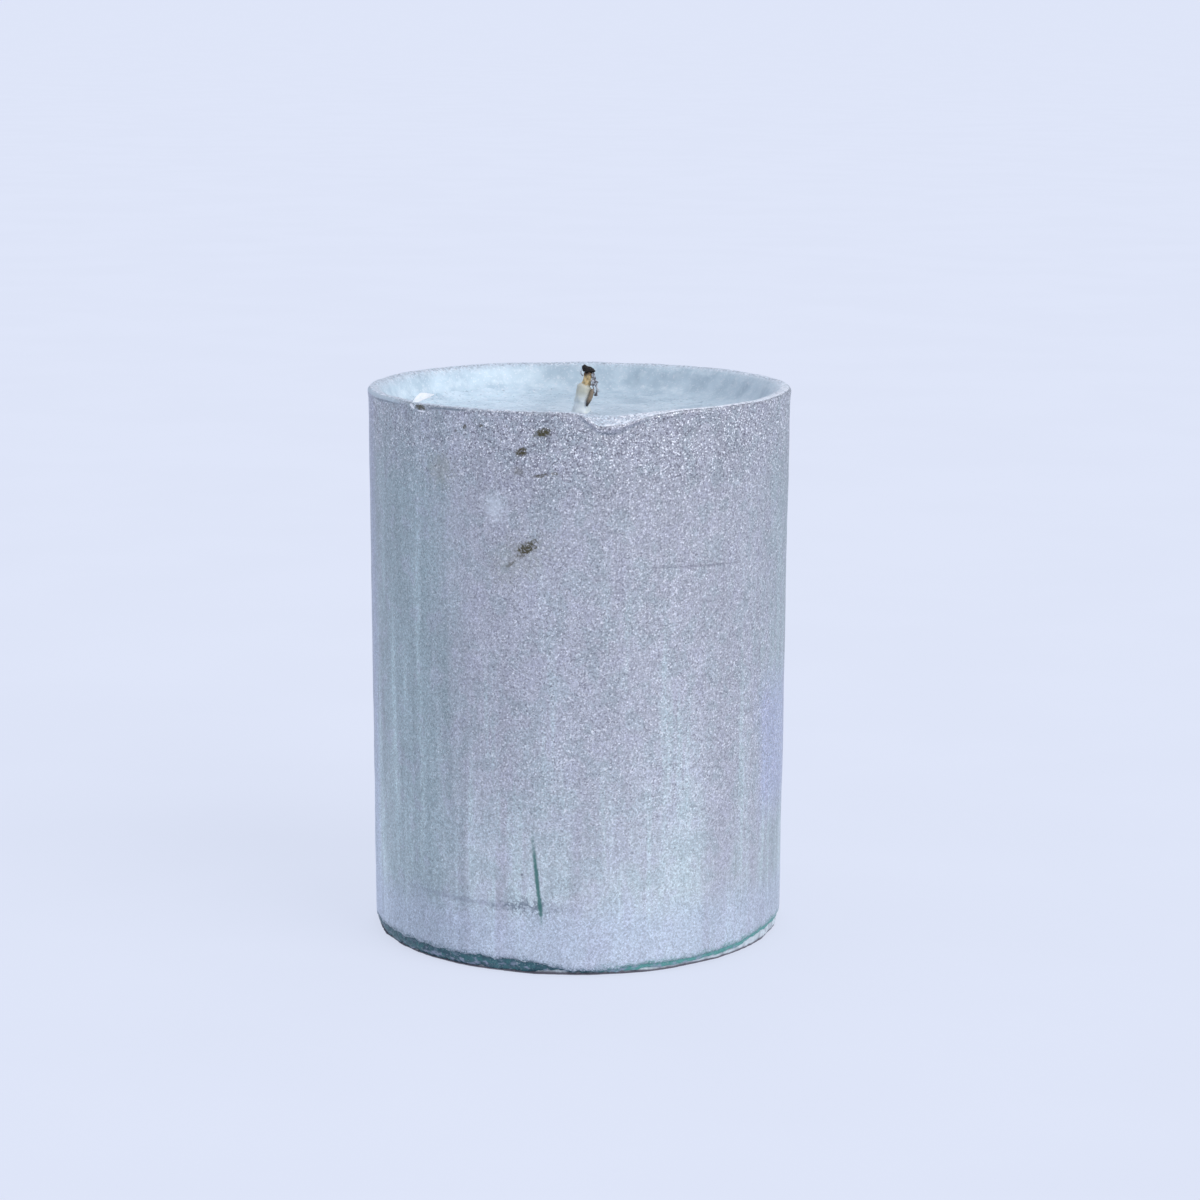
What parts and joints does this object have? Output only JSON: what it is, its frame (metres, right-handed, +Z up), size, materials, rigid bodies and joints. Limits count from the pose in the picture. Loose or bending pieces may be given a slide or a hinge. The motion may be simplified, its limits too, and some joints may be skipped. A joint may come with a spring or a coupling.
{
  "type": "pillar candle",
  "caption": "Burnt pillar candle with a worn metallic coat over a coloured overdip, a shallow melted well and a charred braided wick; stands on its flat base.",
  "frame": {"origin": "centre of the base, on the surface the candle stands on", "axes": "+Z up along the candle's axis; -Y is the front, the side the wick's loose dark strand is on; the wick leans towards +X"},
  "size_m": [0.076, 0.076, 0.1034],
  "materials": {
    "core_wax": "satin",
    "green_wax": "satin",
    "metallic_coat": "satin",
    "pool_wax": "gloss",
    "cotton": "matte",
    "char": "matte",
    "tinplate": "satin",
    "flake": "satin"
  },
  "bodies": {
    "root": {"wax_core": "core_wax", "green_overdip": "green_wax", "silver_coat": "metallic_coat", "pool_wax": "pool_wax", "wick": "cotton", "wick_char": "char", "wick_sustainer": "tinplate", "coat_flake": "flake"}
  },
  "joints": []
}
